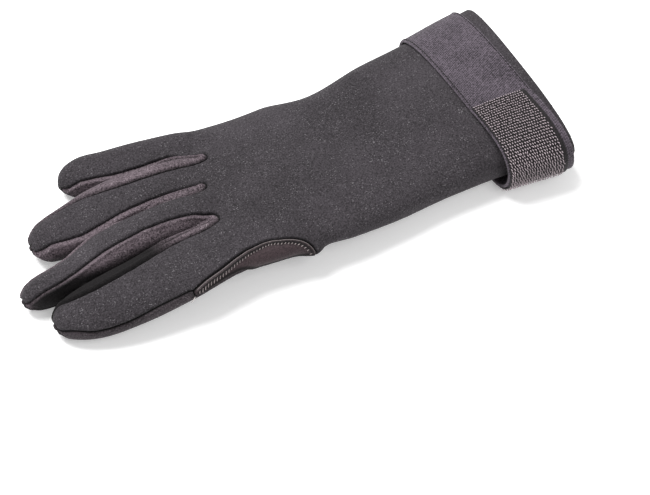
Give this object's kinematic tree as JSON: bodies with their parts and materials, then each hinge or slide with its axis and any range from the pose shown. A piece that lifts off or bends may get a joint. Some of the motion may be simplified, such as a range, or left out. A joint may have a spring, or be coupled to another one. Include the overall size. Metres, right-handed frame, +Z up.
{
  "type": "diving glove",
  "caption": "Right-hand neoprene diving glove lying palm down, with seamed finger strips, a thumb patch and a wrist strap with a hook patch; hollow and open at the cuff.",
  "frame": {"origin": "middle of the underside of the box round the lying glove", "axes": "+X from the fingers to the cuff, +Y to the little finger, +Z up, out of the back of the hand"},
  "size_m": [0.272, 0.119, 0.0357],
  "materials": {
    "charcoal_knit": "matt dark charcoal knit laid on neoprene",
    "grey_knit": "soft matt purplish grey knit",
    "brown_patch": "smooth dark brown reinforcement with a faint sheen",
    "webbing": "ribbed purplish grey woven elastic",
    "hook_tape": "coarse pinkish grey rows of hooks"
  },
  "bodies": {
    "root": {"back_panel": "charcoal_knit", "palm_panel": "grey_knit", "strip_index_middle": "grey_knit", "strip_middle_ring": "grey_knit", "strip_ring_little": "grey_knit", "thumb_patch": "brown_patch", "thumb": "charcoal_knit", "wrist_strap": "webbing", "hook_patch": "hook_tape"}
  },
  "joints": []
}
